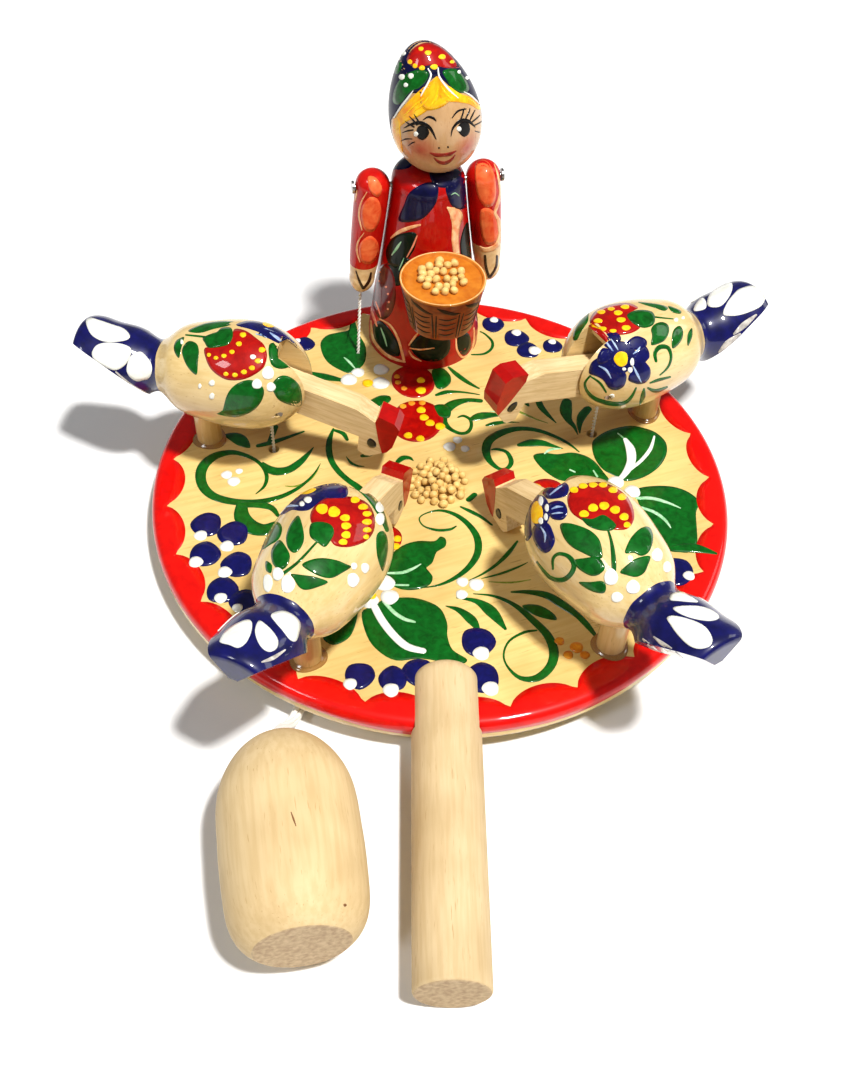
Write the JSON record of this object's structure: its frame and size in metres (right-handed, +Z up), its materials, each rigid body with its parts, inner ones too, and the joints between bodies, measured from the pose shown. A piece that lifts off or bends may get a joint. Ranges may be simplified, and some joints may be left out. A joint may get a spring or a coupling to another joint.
{
  "type": "pecking chickens toy",
  "caption": "Wooden paddle toy: hens with hinged necks peck round a turned figure when the weight on strings under the board is swung.",
  "frame": {"origin": "centre of the board's flat underside", "axes": "+Z up out of the painted top, the handle runs along -Y, the figure stands at +Y"},
  "size_m": [0.1851, 0.2145, 0.1038],
  "materials": {
    "board_wood": "varnished, folk painting on top",
    "bare_wood": "bare, turned",
    "weight_wood": "bare, turned",
    "hen_wood": "gloss varnish over painting",
    "leg_wood": "bare, turned",
    "neck_wood": "sawn, with painted comb and eye",
    "gown_wood": "gloss red paint with pattern",
    "head_wood": "gloss painted face and headscarf",
    "arm_wood": "gloss red painted sleeve, flesh hand",
    "peg_wood": "bare",
    "basket_wood": "brown stain with brushed weave",
    "grain": "pale millet grains, glued",
    "nail_steel": "plain",
    "pin_steel": "plain",
    "cotton": "white cotton string"
  },
  "bodies": {
    "base": {"board": "board_wood", "handle": "bare_wood", "basket": "basket_wood", "basket_grain": "grain", "board_grain": "grain", "figure_gown": "gown_wood", "figure_head": "head_wood", "neck_peg": "peg_wood", "figure_left_arm_nail": "nail_steel", "figure_right_arm_nail": "nail_steel", "arm_string": "cotton", "arm_draw_string": "cotton", "back_left_hen_body": "hen_wood", "back_left_leg": "leg_wood", "back_left_neck_pin": "pin_steel", "back_left_neck_string": "cotton", "back_left_draw_string": "cotton", "front_left_hen_body": "hen_wood", "front_left_leg": "leg_wood", "front_left_neck_pin": "pin_steel", "front_left_neck_string": "cotton", "front_left_draw_string": "cotton", "front_right_hen_body": "hen_wood", "front_right_leg": "leg_wood", "front_right_neck_pin": "pin_steel", "front_right_neck_string": "cotton", "front_right_draw_string": "cotton", "back_right_hen_body": "hen_wood", "back_right_leg": "leg_wood", "back_right_neck_pin": "pin_steel", "back_right_neck_string": "cotton", "back_right_draw_string": "cotton"},
    "back_left_neck_lever": {"back_left_neck": "neck_wood"},
    "front_left_neck_lever": {"front_left_neck": "neck_wood"},
    "front_right_neck_lever": {"front_right_neck": "neck_wood"},
    "back_right_neck_lever": {"back_right_neck": "neck_wood"},
    "right_arm": {"figure_right_arm": "arm_wood"},
    "left_arm": {"figure_left_arm": "arm_wood"},
    "knot": {"string_knot": "cotton"},
    "hanging_weight": {"weight_cord": "cotton", "weight": "weight_wood"}
  },
  "joints": [
    {"name": "back_left_neck_nod", "type": "hinge", "parent": "base", "child": "back_left_neck_lever", "pos_m": [-0.0401, 0.00948, 0.03103], "axis": [-0.2164, -0.9763, 0], "range_deg": [-20.5, 46], "deforming": ["back_left_neck_string"]},
    {"name": "front_left_neck_nod", "type": "hinge", "parent": "base", "child": "front_left_neck_lever", "pos_m": [-0.02283, -0.0355, 0.02779], "axis": [0.9135, -0.4067, 0], "range_deg": [-7.5, 48], "deforming": ["front_left_neck_string"]},
    {"name": "front_right_neck_nod", "type": "hinge", "parent": "base", "child": "front_right_neck_lever", "pos_m": [0.02727, -0.03284, 0.02844], "axis": [0.8572, 0.515, 0], "range_deg": [-2, 55.5], "deforming": ["front_right_neck_string"]},
    {"name": "back_right_neck_nod", "type": "hinge", "parent": "base", "child": "back_right_neck_lever", "pos_m": [0.03769, 0.01548, 0.03188], "axis": [-0.4924, 0.8704, 0], "range_deg": [-57, 13], "deforming": ["back_right_neck_string"]},
    {"name": "right_arm_swing", "type": "hinge", "parent": "base", "child": "right_arm", "pos_m": [-0.01942, 0.05804, 0.06], "axis": [-0.9842, -0.1771, 0], "range_deg": [-15, 60], "deforming": ["arm_string"]},
    {"name": "left_arm_swing", "type": "hinge", "parent": "base", "child": "left_arm", "pos_m": [0.0105, 0.06343, 0.06], "axis": [-0.9842, -0.1771, 0], "range_deg": [-15, 90]},
    {"name": "weight_swing", "type": "hinge", "parent": "base", "child": "knot", "pos_m": [-0.03121, -0.05216, -0.0024], "axis": [0, 0, 1], "range_deg": [-50, 4]},
    {"name": "weight_drop", "type": "hinge", "parent": "knot", "child": "hanging_weight", "pos_m": [-0.03121, -0.05216, -0.0024], "axis": [0.9988, -0.0494, 0], "range_deg": [0, 85]}
  ]
}
